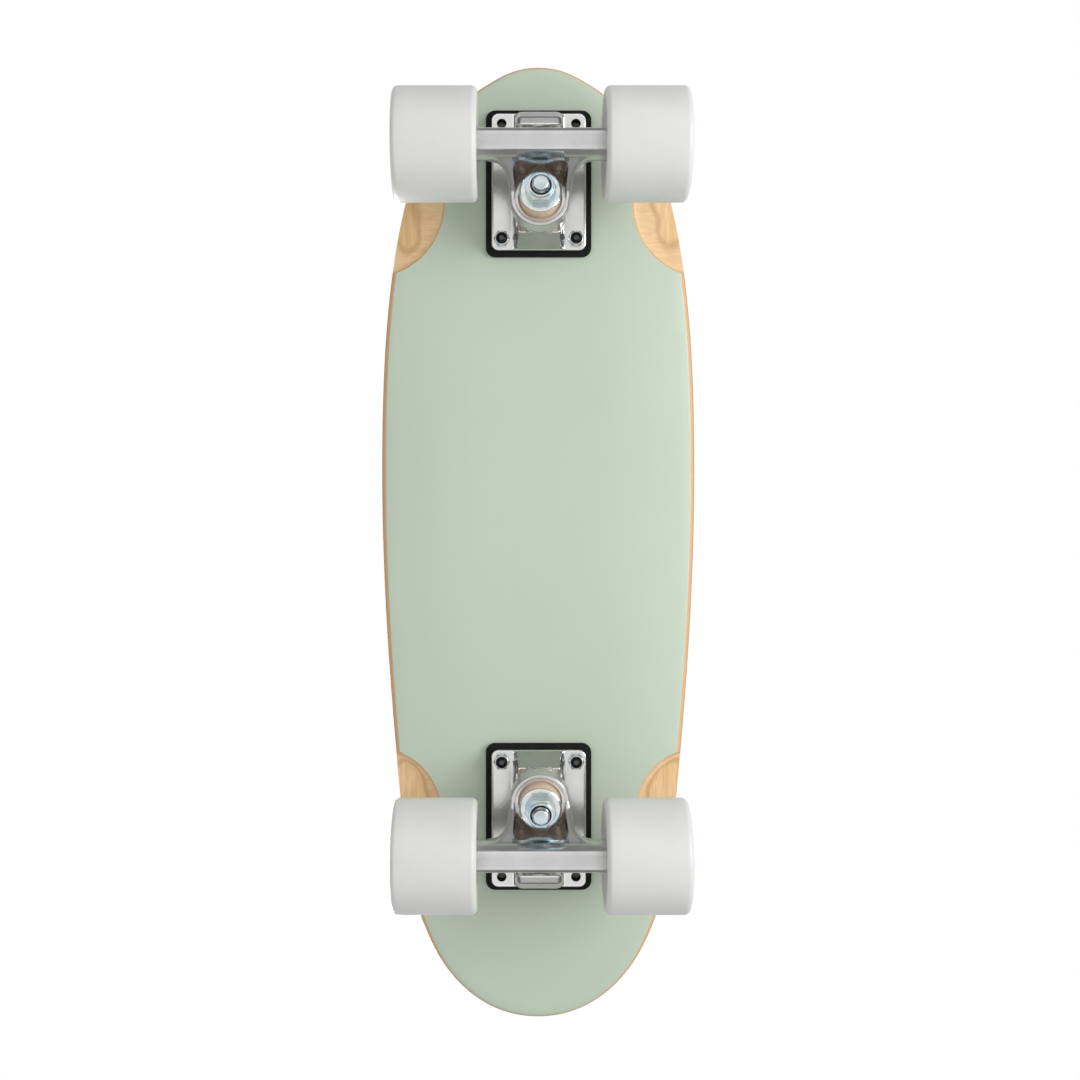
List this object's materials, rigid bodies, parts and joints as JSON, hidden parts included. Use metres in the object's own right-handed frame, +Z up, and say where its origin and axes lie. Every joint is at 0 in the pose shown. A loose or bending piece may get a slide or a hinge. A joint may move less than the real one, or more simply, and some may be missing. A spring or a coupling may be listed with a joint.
{
  "type": "skateboard",
  "caption": "Small cruiser skateboard with a kicked tail, wheel wells, steering trucks on urethane bushings and wheels on ball bearings.",
  "frame": {"origin": "on the ground, under the centre of the bounding box, with the board standing on its wheels", "axes": "+X along the axles, +Y along the deck towards the nose, +Z up through the top of the deck"},
  "size_m": [0.177, 0.539, 0.1088],
  "materials": {
    "deck_paint": "matt mint paint over maple ply, bare maple at the edge and in the wheel wells",
    "grip": "coarse black grit",
    "riser_rubber": "matt black",
    "polished_alloy": "polished",
    "cast_alloy": "tumbled, satin",
    "zinc": "bright zinc plate",
    "black_steel": "black oxide",
    "bearing_steel": "bright steel",
    "bushing_urethane": "translucent tan",
    "wheel_urethane": "white, satin",
    "nylon": "black"
  },
  "bodies": {
    "board": {"deck": "deck_paint", "grip_tape": "grip", "riser_front": "riser_rubber", "baseplate_front": "polished_alloy", "pivot_cup_front": "nylon", "kingpin_front": "zinc", "kingpin_nut_front": "zinc", "washer_road_front": "zinc", "washer_deck_front": "zinc", "bushing_road_front": "bushing_urethane", "bushing_deck_front": "bushing_urethane", "bolt_front_inner_left": "black_steel", "nut_front_inner_left": "zinc", "bolt_front_inner_right": "black_steel", "nut_front_inner_right": "zinc", "bolt_front_outer_left": "black_steel", "nut_front_outer_left": "zinc", "bolt_front_outer_right": "black_steel", "nut_front_outer_right": "zinc", "riser_rear": "riser_rubber", "baseplate_rear": "polished_alloy", "pivot_cup_rear": "nylon", "kingpin_rear": "zinc", "kingpin_nut_rear": "zinc", "washer_road_rear": "zinc", "washer_deck_rear": "zinc", "bushing_road_rear": "bushing_urethane", "bushing_deck_rear": "bushing_urethane", "bolt_rear_inner_left": "black_steel", "nut_rear_inner_left": "zinc", "bolt_rear_inner_right": "black_steel", "nut_rear_inner_right": "zinc", "bolt_rear_outer_left": "black_steel", "nut_rear_outer_left": "zinc", "bolt_rear_outer_right": "black_steel", "nut_rear_outer_right": "zinc"},
    "hanger_front": {"hanger_front": "cast_alloy", "axle_front": "zinc", "axle_nut_front_left": "zinc", "inner_races_front_left": "bearing_steel", "axle_nut_front_right": "zinc", "inner_races_front_right": "bearing_steel"},
    "wheel_front_left": {"wheel_front_left": "wheel_urethane", "bearing_front_left_inner": "bearing_steel", "bearing_front_left_outer": "bearing_steel"},
    "wheel_front_right": {"wheel_front_right": "wheel_urethane", "bearing_front_right_inner": "bearing_steel", "bearing_front_right_outer": "bearing_steel"},
    "hanger_rear": {"hanger_rear": "cast_alloy", "axle_rear": "zinc", "axle_nut_rear_left": "zinc", "inner_races_rear_left": "bearing_steel", "axle_nut_rear_right": "zinc", "inner_races_rear_right": "bearing_steel"},
    "wheel_rear_left": {"wheel_rear_left": "wheel_urethane", "bearing_rear_left_inner": "bearing_steel", "bearing_rear_left_outer": "bearing_steel"},
    "wheel_rear_right": {"wheel_rear_right": "wheel_urethane", "bearing_rear_right_inner": "bearing_steel", "bearing_rear_right_outer": "bearing_steel"}
  },
  "joints": [
    {"name": "steer_front", "type": "hinge", "parent": "board", "child": "hanger_front", "pos_m": [0, 0.2309, 0.068], "axis": [0, 0.9075, 0.42], "range_deg": [-10, 10], "stiffness_Nm_per_rad": 40, "deforming": ["bushing_road_front", "bushing_deck_front"]},
    {"name": "spin_front_left", "type": "hinge", "parent": "hanger_front", "child": "wheel_front_left", "pos_m": [-0.0553, 0.2126, 0.03], "axis": [1, 0, 0], "continuous": true},
    {"name": "spin_front_right", "type": "hinge", "parent": "hanger_front", "child": "wheel_front_right", "pos_m": [0.0553, 0.2126, 0.03], "axis": [1, 0, 0], "continuous": true},
    {"name": "steer_rear", "type": "hinge", "parent": "board", "child": "hanger_rear", "pos_m": [0, -0.1791, 0.068], "axis": [0, -0.9075, 0.42], "range_deg": [-10, 10], "stiffness_Nm_per_rad": 40, "deforming": ["bushing_road_rear", "bushing_deck_rear"]},
    {"name": "spin_rear_left", "type": "hinge", "parent": "hanger_rear", "child": "wheel_rear_left", "pos_m": [0.0553, -0.1608, 0.03], "axis": [1, 0, 0], "continuous": true},
    {"name": "spin_rear_right", "type": "hinge", "parent": "hanger_rear", "child": "wheel_rear_right", "pos_m": [-0.0553, -0.1608, 0.03], "axis": [1, 0, 0], "continuous": true}
  ]
}
